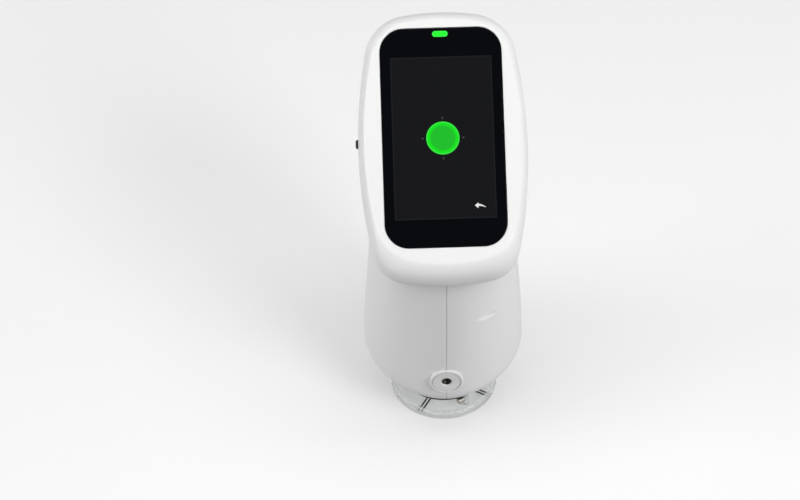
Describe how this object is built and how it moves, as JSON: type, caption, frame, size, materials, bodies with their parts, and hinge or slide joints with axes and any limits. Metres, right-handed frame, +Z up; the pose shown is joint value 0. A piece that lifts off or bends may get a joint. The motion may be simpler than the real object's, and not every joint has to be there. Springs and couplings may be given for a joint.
{
  "type": "portable colorimeter",
  "caption": "Upright handheld colorimeter: tilted touch display head on an oval grip, downward measuring port inside a clear ring stabilizer, stand thread, slide switch, rear button.",
  "frame": {"origin": "centre of the measuring aperture on the sample plane, the surface the instrument stands on", "axes": "+X to the operator's right, +Y away from the operator, +Z up"},
  "size_m": [0.0791, 0.127, 0.2061],
  "materials": {
    "white_plastic": "fine satin moulded plastic",
    "dark_plastic": "matte moulded plastic",
    "seal_grey": "soft seal",
    "label_film": "bare printed film",
    "black_glass": "polished cover glass with black border",
    "green_light": "lit green light guide",
    "screen": "picture module",
    "board_green": "solder mask",
    "steel": "plain steel",
    "brass": "turned brass",
    "aluminium": "milled aluminium",
    "sphere_white": "diffuse white coating",
    "clear_acrylic": "clear acrylic",
    "mark_black": "black ink filling",
    "optic_glass": "polished optics",
    "mirror_coat": "front surface mirror",
    "cell_wrap": "shrink wrap",
    "ribbon": "polyimide film",
    "rubber": "soft white rubber",
    "chip_black": "chip packages"
  },
  "bodies": {
    "housing": {"head_cover": "white_plastic", "head_seal": "seal_grey", "body_left": "white_plastic", "body_right": "white_plastic", "case_screws": "steel", "rating_label": "label_film", "touch_glass": "black_glass", "light_pipe": "green_light", "status_led": "green_light", "display_gasket": "seal_grey", "lcd_module": "screen", "display_bracket": "aluminium", "display_board": "board_green", "display_screws": "steel", "display_ribbon": "ribbon", "power_switch": "dark_plastic", "tact_switch": "dark_plastic", "button_board": "board_green", "stand_boss": "white_plastic", "thread_insert": "steel", "base_plate": "dark_plastic", "base_screws": "steel", "port_nose": "dark_plastic", "aperture_insert": "dark_plastic", "sphere_lower": "sphere_white", "sphere_upper": "sphere_white", "lamp_housing": "aluminium", "lamp_led": "board_green", "camera_module": "chip_black", "lens_barrel": "aluminium", "collecting_lens": "optic_glass", "optical_deck": "aluminium", "spectrometer_case": "aluminium", "spectrometer_lid": "aluminium", "fold_mirror": "mirror_coat", "diffraction_grating": "mirror_coat", "line_sensor": "board_green", "main_board": "board_green", "board_chips": "chip_black", "board_spacers": "brass", "battery_cells": "cell_wrap", "battery_tray": "dark_plastic", "usb_board": "board_green", "usb_socket": "steel", "stabilizer_ring": "clear_acrylic", "stabilizer_marks": "mark_black", "stabilizer_posts": "clear_acrylic", "clip_screws": "steel"},
    "switch_knob": {"power_knob": "dark_plastic"},
    "button": {"measure_button": "rubber", "button_plunger": "dark_plastic"},
    "flap": {"usb_flap": "rubber"}
  },
  "joints": [
    {"name": "power_slide", "type": "slide", "parent": "housing", "child": "switch_knob", "axis": [0, -0.7749, -0.632], "range_m": [0, 0.003]},
    {"name": "button_press", "type": "slide", "parent": "housing", "child": "button", "axis": [0, -1, 0], "range_m": [0, 0.0008], "stiffness_N_per_m": 1500, "springref_m": -0.0004},
    {"name": "flap_hinge", "type": "hinge", "parent": "housing", "child": "flap", "pos_m": [-0.00575, 0.04908, 0.045], "axis": [0, 0.2028, 0.9792], "range_deg": [0, 100]}
  ]
}
